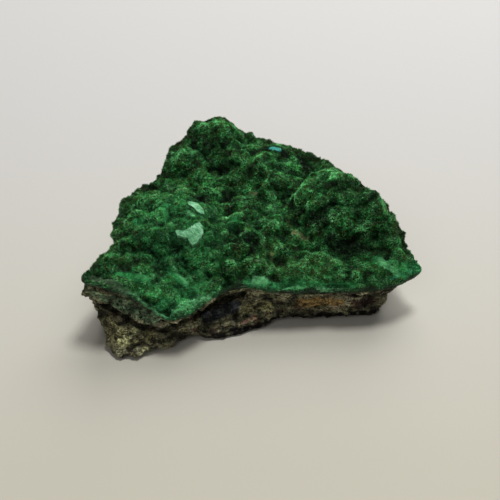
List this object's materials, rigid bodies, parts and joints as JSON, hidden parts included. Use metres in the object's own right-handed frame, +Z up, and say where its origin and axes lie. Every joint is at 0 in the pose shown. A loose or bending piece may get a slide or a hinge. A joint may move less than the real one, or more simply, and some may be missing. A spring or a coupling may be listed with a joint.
{
  "type": "malachite specimen",
  "caption": "Hand specimen of velvet malachite: a knobbly green crust grown over a broken slab of dark iron-stained rock, lying on its underside.",
  "frame": {"origin": "on the surface the specimen lies on, under the middle of its outline", "axes": "+Z up, +X along the specimen's longest side towards its pointed end, +Y away from its broken front edge"},
  "size_m": [0.105, 0.0896, 0.03],
  "materials": {
    "matrix": "rough, broken",
    "malachite": "velvety, with fine needles"
  },
  "bodies": {
    "root": {"matrix_rock": "matrix", "malachite_crust": "malachite"}
  },
  "joints": []
}
